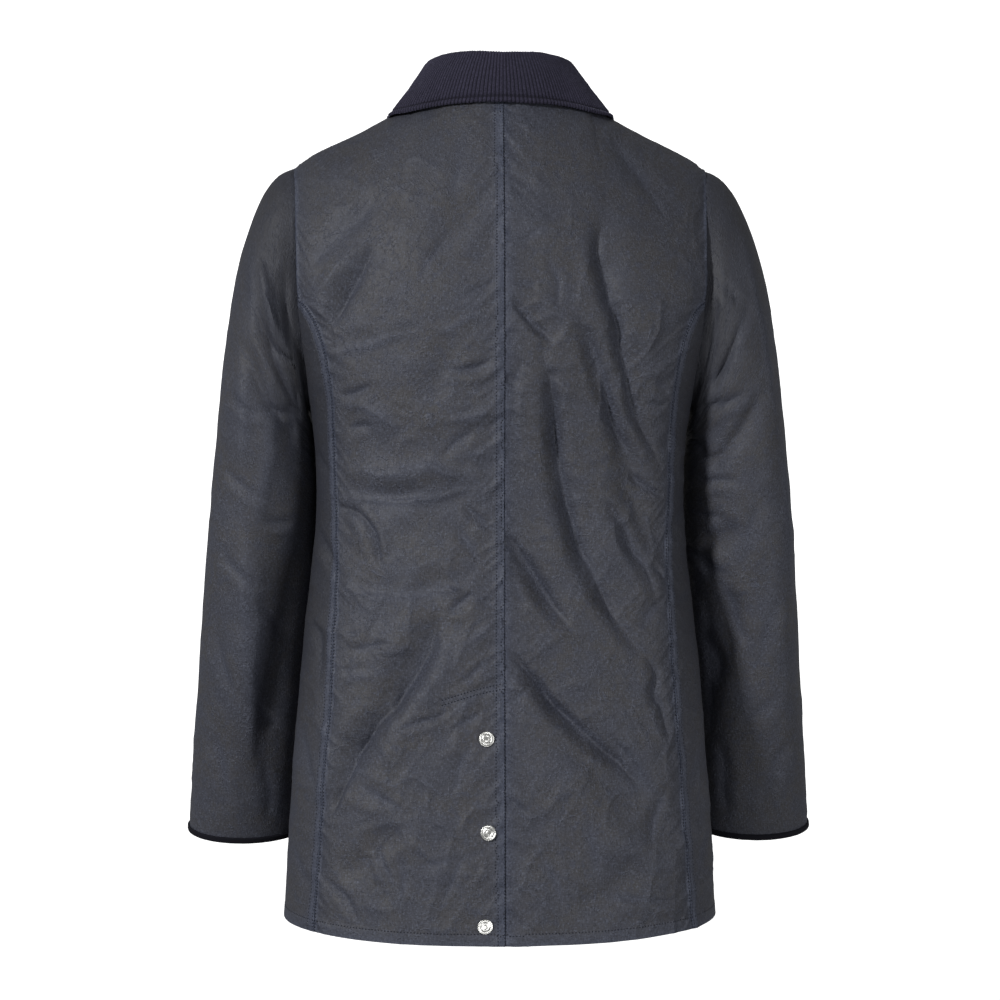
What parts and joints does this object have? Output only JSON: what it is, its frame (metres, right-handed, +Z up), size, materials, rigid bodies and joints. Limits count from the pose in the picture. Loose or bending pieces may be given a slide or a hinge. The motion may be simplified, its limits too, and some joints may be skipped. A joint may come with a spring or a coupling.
{
  "type": "waxed cotton jacket",
  "caption": "Hip-length navy waxed cotton jacket in its hollow worn shape, with a corduroy collar, a buttoned front, long sleeves bound at the cuffs and a studded vent in the back.",
  "frame": {"origin": "Midway between the two neck points, where the shoulder seams meet the collar, and where the worn jacket hangs from the shoulders.", "axes": "+Z up, -Y the wearer's front, +X the wearer's left. The back that the picture shows faces +Y."},
  "size_m": [0.6136, 0.2616, 0.8127],
  "materials": {
    "waxed_cotton": "waxed, with a dull sheen",
    "corduroy": "ribbed pile, matt",
    "binding": "matt",
    "stud": "antique nickel, satin"
  },
  "bodies": {
    "root": {"back_left": "waxed_cotton", "back_right": "waxed_cotton", "side_left": "waxed_cotton", "side_right": "waxed_cotton", "front_left": "waxed_cotton", "front_right": "waxed_cotton", "sleeve_left": "waxed_cotton", "sleeve_right": "waxed_cotton", "vent_underlap": "waxed_cotton", "front_fly": "waxed_cotton", "collar_stand": "corduroy", "collar_fall": "corduroy", "cuff_binding_left": "binding", "cuff_binding_right": "binding", "vent_stud_1": "stud", "vent_stud_2": "stud", "vent_stud_3": "stud", "front_stud_1": "stud", "front_stud_2": "stud", "front_stud_3": "stud", "front_stud_4": "stud", "front_stud_5": "stud", "front_stud_6": "stud"}
  },
  "joints": []
}
